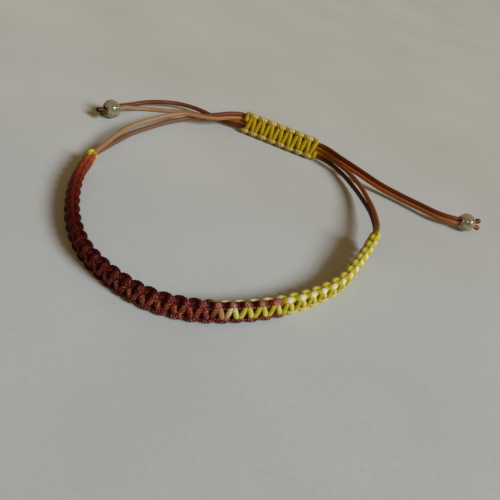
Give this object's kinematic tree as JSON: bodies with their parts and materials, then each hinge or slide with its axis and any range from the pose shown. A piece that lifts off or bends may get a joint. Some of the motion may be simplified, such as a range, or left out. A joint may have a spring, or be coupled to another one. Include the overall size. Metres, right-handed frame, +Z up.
{
  "type": "macrame cord bracelet with sliding knot closure",
  "caption": "Adjustable knotted cord bracelet: flat square-knot band on core cords, closed by a sliding knotted sleeve, a bead on each cord tail.",
  "frame": {"origin": "middle of the whole outline seen from above, on the surface that the bracelet lies on", "axes": "+Z up from the surface, along the way the wrist goes through the loop; +X along the longest extent, from the left tail bead to the right tail bead; +Y from the knotted front of the band to the sliding knot at the back"},
  "size_m": [0.112, 0.0829, 0.0063],
  "materials": {
    "dark_cord": "dark red-brown twisted knotting cord with a soft sheen",
    "yellow_cord": "yellow twisted knotting cord with pale tinted stretches and a soft sheen",
    "copper_core": "smooth satin round cord, copper brown",
    "brown_core": "smooth satin round cord, dark brown",
    "bead": "smoky translucent polished bead"
  },
  "bodies": {
    "root": {"band_dark": "dark_cord", "band_yellow": "yellow_cord", "slide_knot": "yellow_cord", "core_cord_a": "copper_core", "core_cord_b": "brown_core", "bead_right": "bead", "bead_left": "bead"}
  },
  "joints": []
}
